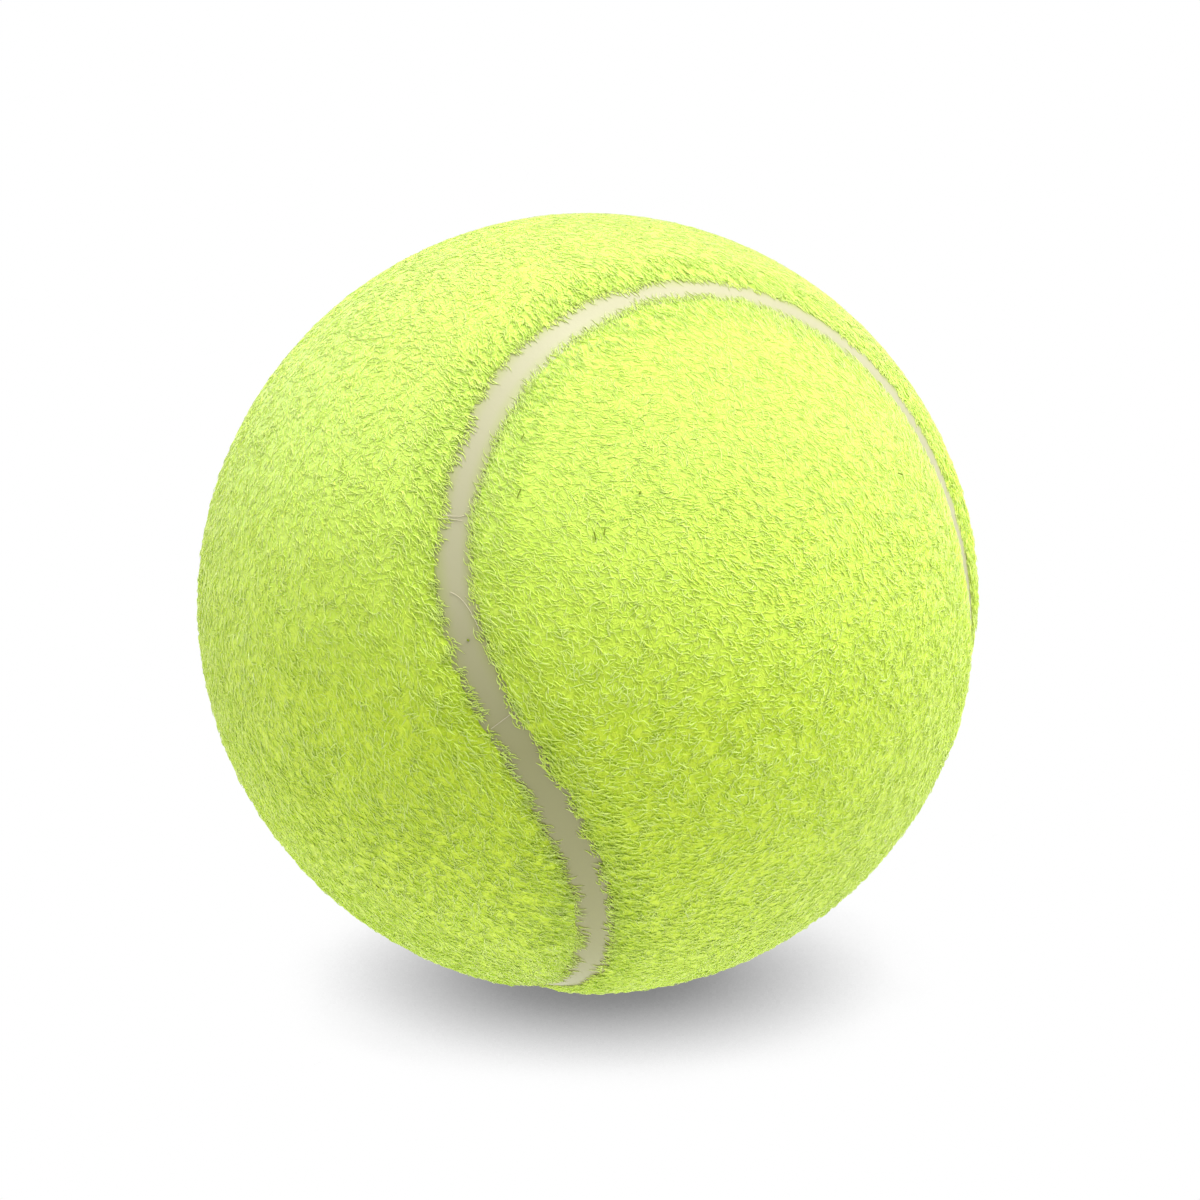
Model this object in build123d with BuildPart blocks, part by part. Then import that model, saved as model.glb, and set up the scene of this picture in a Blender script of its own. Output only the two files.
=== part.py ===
from build123d import *
import os
from math import acos, asin, atan, cos, degrees, pi, sin, sqrt, tan

# A pressurised tennis ball. Two moulded rubber cups are cemented rim to rim into a hollow core, the core is coated
# with rubber solution, and two dog-bone blanks of backed felt are wrapped round it. Their edges never quite meet:
# the gap between them is one closed seam, filled with cured cement. The origin is the middle of the ball.

# Layers from the outside in, in millimetres
BALL_DIAMETER = 67.0  # over the felt
NAP_HEIGHT = 2.4  # raised felt above its woven back
BACKING_THICKNESS = 0.6  # woven back of the felt, proofed with rubber
COAT_THICKNESS = 0.2  # rubber solution brushed over the core
CORE_WALL = 3.4  # moulded rubber cup

# Joint between the two cups of the core
JOINT_THICKNESS = 0.2  # cement between the rims
BEAD_WIDTH = 2.2  # cement squeezed out along the inside of the joint
BEAD_HEIGHT = 0.5

# Seam between the felt panels, measured over the face of the ball
SEAM_WIDTH = 2.4
SEAM_RECESS = 0.8  # depth of the cement's edges below the felt
SEAM_CROWN = 0.12  # rise of the cement between its edges
EDGE_TURN = 60.0  # degrees that the felt's rounded edge turns through, from the seam's wall towards the face
NECK_WIDTH = 44.0  # a panel's narrowest width, between the seam's centre lines
FLANK_LENGTH = 4.0  # straight stretch of seam between two round ends

# How the ball lies, in degrees: the panel pattern's own axis leans from +Z, and the pattern is spun about it
PATTERN_LEAN = -25.2
PATTERN_SPIN = 78.6

ball_radius = BALL_DIAMETER / 2
backing_radius = ball_radius - NAP_HEIGHT
coat_radius = backing_radius - BACKING_THICKNESS
core_radius = coat_radius - COAT_THICKNESS
cavity_radius = core_radius - CORE_WALL
seam_edge = ball_radius - SEAM_RECESS

# The seam on a ball is four round ends, each a circle on the sphere, joined by four short flanks of great circle.
# The ends lie around the pattern's axis at every quarter turn, by turns a little above and below its equator, and
# each flank crosses the equator halfway between two of them. The neck and the flank fix the circles' size and place.
neck_half = NECK_WIDTH / 2 / ball_radius
flank_half = FLANK_LENGTH / 2 / ball_radius
end_offset = atan((cos(pi / 4) / cos(flank_half) - sin(neck_half)) / cos(neck_half))
end_circle = pi / 2 - neck_half - end_offset
crossing_distance = acos(cos(end_offset) * cos(pi / 4))
end_half_sweep = degrees(pi / 2 + atan(sin(end_offset)) - acos(tan(end_circle) / tan(crossing_distance)))

centre = Vector(0, 0, 0)
pattern = Plane.XY.rotated((0, PATTERN_LEAN, PATTERN_SPIN))
pattern_axis = Axis(centre, pattern.z_dir)


def on_pattern(azimuth, elevation):
    """Returns the direction at an azimuth in degrees and an elevation in radians of the panel pattern."""
    level = pattern.x_dir.rotate(pattern_axis, azimuth)
    return level * cos(elevation) + pattern.z_dir * sin(elevation)


def turn_from(start, axis_direction, sweep):
    """Returns one arc of the seam: the plane of its section at the start, its axis through the ball, and its sweep."""
    section = Plane(centre, x_dir=start, z_dir=axis_direction.cross(start))
    return section, Axis(centre, axis_direction), sweep


seam_arcs = []
for quarter, side in enumerate((1, -1, 1, -1)):
    azimuth = 45 + 90 * quarter
    end_axis = on_pattern(azimuth, side * end_offset) * -side
    end_middle = on_pattern(azimuth, side * (end_offset + end_circle))
    end_start = end_middle.rotate(Axis(centre, end_axis), -end_half_sweep)
    end_finish = end_middle.rotate(Axis(centre, end_axis), end_half_sweep)
    flank_axis = end_finish.cross(on_pattern(azimuth + 45, 0)).normalized()
    seam_arcs.append(turn_from(end_start, end_axis, 2 * end_half_sweep))
    seam_arcs.append(turn_from(end_finish, flank_axis, 2 * degrees(flank_half)))

# The gap between two panels: straight walls as far as the cement's edges, then the rounded edges of the felt.
# In a section, X points out of the ball and Y lies across the seam.
seam_half = SEAM_WIDTH / 2
gap_floor = (core_radius + cavity_radius) / 2
edge_round = SEAM_RECESS / sin(EDGE_TURN * pi / 180)
with BuildPart() as seam_gap:
    for section, axis, sweep in seam_arcs:
        with BuildSketch(section):
            with BuildLine():
                wall = Line((gap_floor, seam_half), (seam_edge, seam_half))
                edge = JernArc(wall @ 1, wall % 1, edge_round, EDGE_TURN)
                flare = PolarLine(edge @ 1, edge_round, direction=edge % 1)
                Line((gap_floor, 0), wall @ 0)
                Line(flare @ 1, ((flare @ 1).X, 0))
                mirror(about=Plane.XZ)
            make_face()
        revolve(axis=axis, revolution_arc=sweep, clean=False)

# Raised felt, one ball-wide layer cut along the seam into two panels that interlock
with BuildPart() as felt_layer:
    Sphere(ball_radius)
    Sphere(backing_radius, mode=Mode.SUBTRACT)
    add(seam_gap.part, mode=Mode.SUBTRACT)
felt_blanks = felt_layer.solids().sort_by(pattern_axis)

with BuildPart() as felt_panel_a:
    add(felt_blanks[-1])
felt_panel_a.part.label = "felt_panel_a"

with BuildPart() as felt_panel_b:
    add(felt_blanks[0])
felt_panel_b.part.label = "felt_panel_b"

# Woven back of each panel, cut to the same outline
with BuildPart() as backing_layer:
    Sphere(backing_radius)
    Sphere(coat_radius, mode=Mode.SUBTRACT)
    add(seam_gap.part, mode=Mode.SUBTRACT)
backing_blanks = backing_layer.solids().sort_by(pattern_axis)

with BuildPart() as felt_backing_a:
    add(backing_blanks[-1])
felt_backing_a.part.label = "felt_backing_a"

with BuildPart() as felt_backing_b:
    add(backing_blanks[0])
felt_backing_b.part.label = "felt_backing_b"

# Seam cement: a closed rubbery line that sits on the coated core, fills the gap and ends in a low crown
seam_foot = sqrt(coat_radius**2 - seam_half**2)
seam_crest = seam_edge + SEAM_CROWN
with BuildPart() as seam_cement:
    cement_arcs = []
    for section, axis, sweep in seam_arcs:
        with BuildSketch(section):
            with BuildLine():
                Line((seam_foot, -seam_half), (seam_edge, -seam_half))
                ThreePointArc((seam_edge, -seam_half), (seam_crest, 0), (seam_edge, seam_half))
                Line((seam_edge, seam_half), (seam_foot, seam_half))
                ThreePointArc((seam_foot, seam_half), (coat_radius, 0), (seam_foot, -seam_half))
            make_face()
        cement_arcs.append(revolve(axis=axis, revolution_arc=sweep, mode=Mode.PRIVATE))
    add(cement_arcs, clean=False)
seam_cement.part.label = "seam_cement"

# Coat of rubber solution all over the core
with BuildPart() as core_cement_coat:
    Sphere(coat_radius)
    Sphere(core_radius, mode=Mode.SUBTRACT)
core_cement_coat.part.label = "core_cement_coat"

# Moulded cups of the core, with flat ground rims
joint_half = JOINT_THICKNESS / 2
with BuildPart() as core_upper_half:
    Sphere(core_radius)
    Sphere(cavity_radius, mode=Mode.SUBTRACT)
    split(bisect_by=Plane.XY.offset(joint_half), keep=Keep.TOP)
core_upper_half.part.label = "core_upper_half"

with BuildPart() as core_lower_half:
    Sphere(core_radius)
    Sphere(cavity_radius, mode=Mode.SUBTRACT)
    split(bisect_by=Plane.XY.offset(-joint_half), keep=Keep.BOTTOM)
core_lower_half.part.label = "core_lower_half"

# Cement between the rims, with the bead that is squeezed out on the inside
rim_outside = sqrt(core_radius**2 - joint_half**2)
rim_inside = sqrt(cavity_radius**2 - joint_half**2)
bead_half_angle = asin(BEAD_WIDTH / 2 / cavity_radius)
bead_foot = cavity_radius * cos(bead_half_angle)
bead_crest = cavity_radius - BEAD_HEIGHT
with BuildPart() as core_joint_cement:
    with BuildSketch(Plane.XZ):
        with BuildLine():
            ThreePointArc((rim_outside, -joint_half), (core_radius, 0), (rim_outside, joint_half))
            web = Line((rim_outside, joint_half), (rim_inside, joint_half))
            shore = RadiusArc(web @ 1, (bead_foot, BEAD_WIDTH / 2), -cavity_radius)
            mirror(shore, about=Plane.XZ)
            mirror(web, about=Plane.XZ)
            ThreePointArc(shore @ 1, (bead_crest, 0), (bead_foot, -BEAD_WIDTH / 2))
        make_face()
    revolve(axis=Axis.Z)
core_joint_cement.part.label = "core_joint_cement"

os.makedirs("parts", exist_ok=True)
pieces = (
    felt_panel_a,
    felt_panel_b,
    felt_backing_a,
    felt_backing_b,
    seam_cement,
    core_cement_coat,
    core_upper_half,
    core_lower_half,
    core_joint_cement,
)
for piece in pieces:
    export_step(piece.part, f"parts/{piece.part.label}.step")
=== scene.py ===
# A tennis ball, dressed from its core outwards: black rubber cups, cement, backed felt with a brushed nap,
# and the pale seam between the two felt panels. All lengths are in metres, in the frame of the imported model.
from math import cos, radians, sin, sqrt

import bpy
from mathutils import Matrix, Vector


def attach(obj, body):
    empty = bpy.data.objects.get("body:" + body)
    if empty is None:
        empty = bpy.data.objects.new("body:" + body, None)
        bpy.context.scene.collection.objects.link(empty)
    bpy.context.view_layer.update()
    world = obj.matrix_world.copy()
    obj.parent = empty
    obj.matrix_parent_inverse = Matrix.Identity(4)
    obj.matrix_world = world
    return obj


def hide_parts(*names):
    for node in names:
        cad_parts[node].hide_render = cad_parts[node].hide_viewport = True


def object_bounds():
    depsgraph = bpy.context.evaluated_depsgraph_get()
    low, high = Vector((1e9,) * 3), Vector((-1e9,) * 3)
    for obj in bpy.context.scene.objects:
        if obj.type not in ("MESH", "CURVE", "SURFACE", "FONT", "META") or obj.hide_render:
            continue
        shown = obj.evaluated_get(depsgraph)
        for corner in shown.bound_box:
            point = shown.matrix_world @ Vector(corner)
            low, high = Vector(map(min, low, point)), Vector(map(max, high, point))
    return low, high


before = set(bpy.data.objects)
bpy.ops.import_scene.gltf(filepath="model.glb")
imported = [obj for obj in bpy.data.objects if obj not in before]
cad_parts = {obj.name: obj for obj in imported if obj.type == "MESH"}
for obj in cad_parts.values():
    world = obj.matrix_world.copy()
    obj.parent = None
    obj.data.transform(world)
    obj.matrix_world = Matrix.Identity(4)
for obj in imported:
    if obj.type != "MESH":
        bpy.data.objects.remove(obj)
cad_low, cad_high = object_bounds()
bpy.context.scene.view_settings.view_transform = "Standard"
MM = 0.001


# The core's two cups are black rubber, pressed and cured in a hot mould and buffed all over for the cement.
# Buffing leaves the skin matt and finely scored, with the compound's grey filler showing as specks.
BUFFED_BLACK = "#1B1B1C"
FILLER_GREY = "#3A3937"
BUFFING_SCRATCH = 0.4 * MM
FILLER_SPECK = 1.2 * MM


def linear(code):
    """Turns an sRGB hex colour into the linear colour that a shader takes."""
    channels = [int(code[i : i + 2], 16) / 255 for i in (1, 3, 5)]
    return [c / 12.92 if c <= 0.04045 else ((c + 0.055) / 1.055) ** 2.4 for c in channels] + [1]


def add_node(tree, kind, inputs=None, **settings):
    """Adds a node. inputs gives a socket, by name or number, a value, or an output or a node to link from."""
    made = tree.nodes.new(kind)
    for name, value in settings.items():
        setattr(made, name, value)
    for key, value in (inputs or {}).items():
        source = value.outputs[0] if isinstance(value, bpy.types.Node) else value
        if isinstance(source, bpy.types.NodeSocket):
            tree.links.new(source, made.inputs[key])
        else:
            made.inputs[key].default_value = source
    return made


def start_material(name, roughness, specular=0.5):
    """Makes a material with one shader, and returns it with its nodes and that shader."""
    made = bpy.data.materials.new(name)
    made.use_nodes = True
    shader = made.node_tree.nodes["Principled BSDF"]
    shader.inputs["Roughness"].default_value = roughness
    shader.inputs["Specular IOR Level"].default_value = specular
    return made, made.node_tree, shader


def give_material(node, material):
    """Gives a piece its finished material."""
    node.data.materials.clear()
    node.data.materials.append(material)


def buffed_rubber():
    """Matt black rubber: nearly no gloss, fine scores from buffing and greyer specks of filler."""
    made, tree, shader = start_material("buffed_black_rubber", 0.8, 0.3)
    place = add_node(tree, "ShaderNodeTexCoord").outputs["Object"]
    specks = add_node(tree, "ShaderNodeTexNoise", {"Vector": place, "Scale": 1 / FILLER_SPECK, "Detail": 4})
    ink = add_node(tree, "ShaderNodeMix", {0: specks, 6: linear(BUFFED_BLACK), 7: linear(FILLER_GREY)},
                   data_type="RGBA")
    scores = add_node(tree, "ShaderNodeTexNoise",
                      {"Vector": place, "Scale": 1 / BUFFING_SCRATCH, "Detail": 2})
    bump = add_node(tree, "ShaderNodeBump", {"Strength": 0.5, "Distance": 0.05 * MM, "Height": scores})
    tree.links.new(ink.outputs[2], shader.inputs["Base Color"])
    tree.links.new(bump.outputs["Normal"], shader.inputs["Normal"])
    return made


core_rubber = buffed_rubber()
give_material(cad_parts["core_upper_half"], core_rubber)
give_material(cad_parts["core_lower_half"], core_rubber)


# The rims of the cups are joined with a rubber cement that cures in the same press as the core is blown up.
# It is a little browner and glossier than the cups, and its squeezed-out bead is lumpy.
CEMENT_BROWN = "#2E2823"
CEMENT_SHEEN = "#4A4038"
CEMENT_LUMP = 2.5 * MM


def joint_rubber():
    """Cured cement: half glossy, lighter on its lumps."""
    made, tree, shader = start_material("cured_joint_cement", 0.5)
    place = add_node(tree, "ShaderNodeTexCoord").outputs["Object"]
    lumps = add_node(tree, "ShaderNodeTexNoise", {"Vector": place, "Scale": 1 / CEMENT_LUMP, "Detail": 3})
    ink = add_node(tree, "ShaderNodeMix", {0: lumps, 6: linear(CEMENT_BROWN), 7: linear(CEMENT_SHEEN)},
                   data_type="RGBA")
    bump = add_node(tree, "ShaderNodeBump", {"Strength": 0.6, "Distance": 0.1 * MM, "Height": lumps})
    tree.links.new(ink.outputs[2], shader.inputs["Base Color"])
    tree.links.new(bump.outputs["Normal"], shader.inputs["Normal"])
    return made


give_material(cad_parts["core_joint_cement"], joint_rubber())


# The whole core is dipped in rubber solution, which dries to a thin honey-coloured film that holds the felt.
# It is streaked where it drained, and tacky enough to look slightly wet.
SOLUTION_THIN = "#B79A63"
SOLUTION_THICK = "#8A6B3C"
SOLUTION_STREAK = 6.0 * MM
DRAINED = (1, 1, 0.25)  # streaks are four times as long up and down as they are wide


def dried_solution():
    """Dried rubber film: satin, darker where it is thick."""
    made, tree, shader = start_material("dried_rubber_solution", 0.4)
    place = add_node(tree, "ShaderNodeTexCoord").outputs["Object"]
    drained = add_node(tree, "ShaderNodeMapping", {"Vector": place, "Scale": DRAINED})
    streaks = add_node(tree, "ShaderNodeTexNoise",
                       {"Vector": drained, "Scale": 1 / SOLUTION_STREAK, "Detail": 5})
    ink = add_node(tree, "ShaderNodeMix", {0: streaks, 6: linear(SOLUTION_THIN), 7: linear(SOLUTION_THICK)},
                   data_type="RGBA")
    bump = add_node(tree, "ShaderNodeBump", {"Strength": 0.4, "Distance": 0.1 * MM, "Height": streaks})
    tree.links.new(ink.outputs[2], shader.inputs["Base Color"])
    tree.links.new(bump.outputs["Normal"], shader.inputs["Normal"])
    return made


give_material(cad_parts["core_cement_coat"], dried_solution())


# Each felt panel has a woven cotton back, proofed with rubber so that it grips the coated core.
# The plain weave shows as a fine grid of cream threads with the proofing dark in its gaps.
THREAD_CREAM = "#DCD3B4"
PROOFING_GREY = "#8E8768"
THREAD_SPACING = 0.7 * MM
BAND_PERIOD = 0.314  # how far apart the bands of a wave pattern are at scale 1


def proofed_cloth():
    """Proofed cotton: dull, with raised cream threads both ways and grey gaps."""
    made, tree, shader = start_material("proofed_cotton_weave", 0.85, 0.2)
    place = add_node(tree, "ShaderNodeTexCoord").outputs["Object"]
    bands = []
    for direction in ("X", "Z"):
        band = add_node(tree, "ShaderNodeTexWave", {"Vector": place, "Scale": BAND_PERIOD / THREAD_SPACING},
                        bands_direction=direction)
        bands.append(band.outputs["Fac"])
    weave = add_node(tree, "ShaderNodeMath", {0: bands[0], 1: bands[1]}, operation="MAXIMUM")
    ink = add_node(tree, "ShaderNodeMix", {0: weave, 6: linear(PROOFING_GREY), 7: linear(THREAD_CREAM)},
                   data_type="RGBA")
    bump = add_node(tree, "ShaderNodeBump", {"Strength": 0.7, "Distance": 0.15 * MM, "Height": weave})
    tree.links.new(ink.outputs[2], shader.inputs["Base Color"])
    tree.links.new(bump.outputs["Normal"], shader.inputs["Normal"])
    return made


backing_cloth = proofed_cloth()
give_material(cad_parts["felt_backing_a"], backing_cloth)
give_material(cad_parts["felt_backing_b"], backing_cloth)


# The seam is cement on the edges of the felt panels, which runs together in the press into a rubbery line.
# It is a pale warm grey, satin and nearly smooth, with slow waves, wanders a bit and runs on under the felt.
# The felt's dye stains it along its sides, and low on the ball it is darkened as painted shade.
SEAM_GREY = "#C4C19C"
SEAM_SHADE = "#B6B38D"
SEAM_STAIN = "#AFB868"
# Painted shade: low on the ball the cement is darkened towards this colour
SEAM_PAINTED_SHADE = "#97955F"
STAIN_WIDTH = 0.9 * MM
WELD = 0.001 * MM
SEAM_MESH = 0.3 * MM
CREST_MESH = 0.25 * MM
SEAM_WAVE = 3.0 * MM
SEAM_WAVE_HEIGHT = 0.12 * MM
SEAM_WAVE_LEVEL = 0.8  # most of the waves are hollows
SEAM_MOTTLE = 4 * SEAM_WAVE
SEAM_GRAIN = 0.3 * MM
SEAM_DRIFT = 9.0 * MM  # length of the wander
SEAM_DRIFT_WIDTH = 0.8 * MM
SEAM_SPREAD = 2.0  # added to the distance from the seam's middle, in times that distance
SEAM_EVENING = 12  # passes that even out the spread, which would fold the mesh
SEAM_FILL = 0.15 * MM
BALL_RADIUS = (cad_high.x - cad_low.x) / 2
CREST_LEVEL = BALL_RADIUS - 0.72 * MM
FILL_LEVEL = BALL_RADIUS - 0.7 * MM
PAINTED_SHADE_HEIGHTS = (0.28 * BALL_RADIUS, -0.1 * BALL_RADIUS)  # heights where the painted shade begins and is full
NOISE_MIDDLE = 0.5
HALF = (NOISE_MIDDLE,) * 3


def start_piece(name, data):
    """Puts a new object in the scene, active and the only one selected."""
    bpy.ops.object.select_all(action="DESELECT")
    made = bpy.data.objects.new(name, data)
    bpy.context.scene.collection.objects.link(made)
    bpy.context.view_layer.objects.active = made
    made.select_set(True)
    return made


def apply_modifier(piece, kind, **settings):
    """Adds a modifier to the active piece with its settings, and applies it."""
    modifier = piece.modifiers.new(kind.lower(), kind)
    for name, value in settings.items():
        setattr(modifier, name, value)
    bpy.ops.object.modifier_apply(modifier=modifier.name)


def rework(node, name, voxel):
    """Copies a piece of the frame to a new object, welds its mesh and meshes it evenly at the voxel size."""
    made = start_piece(name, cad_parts[node].data.copy())
    bpy.ops.object.mode_set(mode="EDIT")
    bpy.ops.mesh.select_all(action="SELECT")
    bpy.ops.mesh.remove_doubles(threshold=WELD)
    bpy.ops.object.mode_set(mode="OBJECT")
    apply_modifier(made, "REMESH", mode="VOXEL", voxel_size=voxel)
    return made


def cloud(name, size, depth):
    """Makes a soft cloudy pattern of a real size, for displacing a mesh."""
    made = bpy.data.textures.new(name, "CLOUDS")
    made.noise_scale = size
    made.noise_depth = depth
    return made


def start_tree(name):
    """Starts a geometry node tree, and returns it with its incoming geometry and its positions."""
    tree = bpy.data.node_groups.new(name, "GeometryNodeTree")
    tree.interface.new_socket("Geometry", in_out="INPUT", socket_type="NodeSocketGeometry")
    tree.interface.new_socket("Geometry", in_out="OUTPUT", socket_type="NodeSocketGeometry")
    incoming = add_node(tree, "NodeGroupInput").outputs[0]
    return tree, incoming, add_node(tree, "GeometryNodeInputPosition").outputs[0]


def drift(tree, geometry, place):
    """Adds a slow uneven shift along the ball's face, the same for the seam and for the felt beside it."""
    reach = add_node(tree, "ShaderNodeVectorMath", {0: place}, operation="LENGTH").outputs["Value"]
    noise = add_node(tree, "ShaderNodeTexNoise", {"Vector": place, "Scale": 1 / SEAM_DRIFT, "Detail": 1})
    aside = add_node(tree, "ShaderNodeVectorMath", {0: noise.outputs["Color"], 1: HALF}, operation="SUBTRACT")
    shifted = add_node(tree, "ShaderNodeVectorMath", {0: aside, 1: (SEAM_DRIFT_WIDTH,) * 3, 2: place},
                       operation="MULTIPLY_ADD")
    way = add_node(tree, "ShaderNodeVectorMath", {0: shifted}, operation="NORMALIZE")
    level = add_node(tree, "ShaderNodeVectorMath", {0: way, "Scale": reach}, operation="SCALE")
    return add_node(tree, "GeometryNodeSetPosition", {"Geometry": geometry, "Position": level}).outputs[0]


def crest_line():
    """Keeps only the crest along the middle of the seam, and lets it drift."""
    tree, line, place = start_tree("crest_line")
    reach = add_node(tree, "ShaderNodeVectorMath", {0: place}, operation="LENGTH").outputs["Value"]
    flank = add_node(tree, "FunctionNodeCompare", {0: reach, 1: CREST_LEVEL}, operation="LESS_THAN")
    crest = add_node(tree, "GeometryNodeDeleteGeometry", {"Geometry": line, "Selection": flank}).outputs[0]
    add_node(tree, "NodeGroupOutput", {0: drift(tree, crest, place)})
    return tree


def to_crest(tree, place):
    """Adds the way from each point to the seam's crest, level with the ball's face, and the distance."""
    crest = add_node(tree, "GeometryNodeObjectInfo", {"Object": seam_crest}).outputs["Geometry"]
    near = add_node(tree, "GeometryNodeProximity", {"Geometry": crest}, target_element="FACES")
    gap = add_node(tree, "ShaderNodeVectorMath", {0: near.outputs["Position"], 1: place},
                   operation="SUBTRACT")
    upright = add_node(tree, "ShaderNodeVectorMath", {0: place}, operation="NORMALIZE")
    rise = add_node(tree, "ShaderNodeVectorMath", {0: gap, 1: upright}, operation="DOT_PRODUCT")
    lift = add_node(tree, "ShaderNodeVectorMath", {0: upright, "Scale": rise.outputs["Value"]},
                    operation="SCALE")
    level = add_node(tree, "ShaderNodeVectorMath", {0: gap, 1: lift}, operation="SUBTRACT")
    return level.outputs[0], near.outputs["Distance"]


def seam_course():
    """Marks how near the seam is to the felt, lets it drift, spreads it under the felt and fills it up."""
    tree, line, place = start_tree("seam_course")

    # The stain is strongest against the felt
    nearest = 1.0
    for letter in ("a", "b"):
        felt = add_node(tree, "GeometryNodeObjectInfo", {"Object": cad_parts[f"felt_panel_{letter}"]})
        near = add_node(tree, "GeometryNodeProximity", {"Geometry": felt.outputs["Geometry"]},
                        target_element="FACES")
        nearest = add_node(tree, "ShaderNodeMath", {0: nearest, 1: near.outputs["Distance"]},
                           operation="MINIMUM")
    edge = add_node(tree, "ShaderNodeMapRange",
                    {"Value": nearest, "From Max": STAIN_WIDTH, "To Min": 1, "To Max": 0})
    marked = add_node(tree, "GeometryNodeStoreNamedAttribute",
                      {"Geometry": line, "Name": "stain", "Value": edge}, domain="POINT", data_type="FLOAT")

    # The cement is wider than the gap between the panels, so that no hollow shows beside their uneven edges
    drifted = drift(tree, marked.outputs[0], place)
    aside = add_node(tree, "ShaderNodeVectorMath", {0: to_crest(tree, place)[0], "Scale": -SEAM_SPREAD},
                     operation="SCALE")
    even = add_node(tree, "GeometryNodeBlurAttribute", {"Value": aside, "Iterations": SEAM_EVENING},
                    data_type="FLOAT_VECTOR")
    spread = add_node(tree, "GeometryNodeSetPosition", {"Geometry": drifted, "Offset": even})

    # Its sides are raised towards the level of its crest
    reach = add_node(tree, "ShaderNodeVectorMath", {0: place}, operation="LENGTH").outputs["Value"]
    lifted = add_node(tree, "ShaderNodeMath", {0: reach, 1: SEAM_FILL}, operation="ADD")
    filled = add_node(tree, "ShaderNodeMath", {0: lifted, 1: FILL_LEVEL}, operation="MINIMUM")
    high = add_node(tree, "ShaderNodeMath", {0: filled, 1: reach}, operation="MAXIMUM")
    share = add_node(tree, "ShaderNodeMath", {0: high, 1: reach}, operation="DIVIDE")
    moved = add_node(tree, "ShaderNodeVectorMath", {0: place, "Scale": share}, operation="SCALE")
    flush = add_node(tree, "GeometryNodeSetPosition", {"Geometry": spread, "Position": moved})
    add_node(tree, "NodeGroupOutput", {0: flush})
    return tree


def seam_rubber():
    """Cured cement: a satin shine, faintly mottled grey, greener at its sides and darkened low on the ball as
    painted shade.
    """
    made, tree, shader = start_material("cured_seam_cement", 0.38, 0.8)
    place = add_node(tree, "ShaderNodeTexCoord").outputs["Object"]
    slow = add_node(tree, "ShaderNodeTexNoise", {"Vector": place, "Scale": 1 / SEAM_MOTTLE, "Detail": 3})
    tint = add_node(tree, "ShaderNodeMix", {0: slow, 6: linear(SEAM_SHADE), 7: linear(SEAM_GREY)},
                    data_type="RGBA").outputs[2]
    stain = add_node(tree, "ShaderNodeAttribute", attribute_name="stain").outputs["Fac"]
    edged = add_node(tree, "ShaderNodeMix", {0: stain, 6: tint, 7: linear(SEAM_STAIN)},
                     data_type="RGBA").outputs[2]
    # Low on the ball the colour turns darker as painted shade
    height = add_node(tree, "ShaderNodeSeparateXYZ", {0: place}).outputs["Z"]
    low = add_node(tree, "ShaderNodeMapRange",
                   {"Value": height, "From Min": PAINTED_SHADE_HEIGHTS[0], "From Max": PAINTED_SHADE_HEIGHTS[1]})
    ink = add_node(tree, "ShaderNodeMix", {0: low, 6: edged, 7: linear(SEAM_PAINTED_SHADE)}, data_type="RGBA")
    grain = add_node(tree, "ShaderNodeTexNoise", {"Vector": place, "Scale": 1 / SEAM_GRAIN, "Detail": 2})
    bump = add_node(tree, "ShaderNodeBump", {"Strength": 0.2, "Distance": 0.03 * MM, "Height": grain})
    tree.links.new(ink.outputs[2], shader.inputs["Base Color"])
    tree.links.new(bump.outputs["Normal"], shader.inputs["Normal"])
    return made


seam_crest = rework("seam_cement", "seam_crest", CREST_MESH)
apply_modifier(seam_crest, "NODES", node_group=crest_line())
seam = rework("seam_cement", "seam_line", SEAM_MESH)
apply_modifier(seam, "SMOOTH", factor=0.5, iterations=6)
apply_modifier(seam, "DISPLACE", texture=cloud("seam_waves", SEAM_WAVE, 1), texture_coords="LOCAL",
               strength=SEAM_WAVE_HEIGHT, mid_level=SEAM_WAVE_LEVEL)
apply_modifier(seam, "NODES", node_group=seam_course())
bpy.ops.object.shade_smooth()
give_material(seam, seam_rubber())
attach(seam, "root")
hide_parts("seam_cement")


# Each panel is a dog-bone blank of needled felt, wool and nylon dyed fluorescent yellow-green, stretched over
# the core. Under the loose nap its face is a dense mat of crossing fibres in soft tufts, pressed smoother on
# the ball's upper side, where its colour is also made paler as painted light. At the seam it rolls down and
# tucks its uneven edge into the cement.
FELT_LIGHT = "#D9F247"
FELT_DEEP = "#C0DE32"
# Painted light: on the ball's upper side the felt's ground turns to this paler colour
FELT_PAINTED_LIGHT = "#D6F76A"
FELT_MESH = 0.7 * MM
NAP_ROOM = 0.22 * MM
EDGE_ROLL = 0.4 * MM
EDGE_ROLL_WIDTH = 4.0 * MM
EDGE_TUCK = 0.5 * MM
EDGE_TUCK_START = 0.1 * MM
EDGE_FOOT = BALL_RADIUS - 1.4 * MM
EDGE_PLAIN = 0.55 * MM
EDGE_UNEVEN = (0.12 * MM, 0.98 * MM)  # distance of the edge from the seam's middle
EDGE_UNEVEN_LENGTH = 6.0 * MM
EDGE_UNEVEN_REACH = 3.0 * MM
TUFT = 2.2 * MM
TUFT_HEIGHT = 0.2 * MM
TUFT_SPAN = (0.25, 0.75)  # nearly all the values of a noise pattern with fine detail
NOISE_SPAN = (0.3, 0.7)  # and of one with little detail
MAT_LOOP = 0.9 * MM  # drawn coarser than real loops, which are too fine to show
MAT_LAYERS = 3
MAT_STRAND = 0.06
PATTERN_STEP = 7.0  # far enough along a noise pattern for another one
PRESSED_AND_PAINTED_LIGHT = (-0.05 * BALL_RADIUS, 0.6 * BALL_RADIUS)  # heights where the pressing and the paler painted light begin and are full
PRESSED_EDGE = 0.12 * MM
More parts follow.
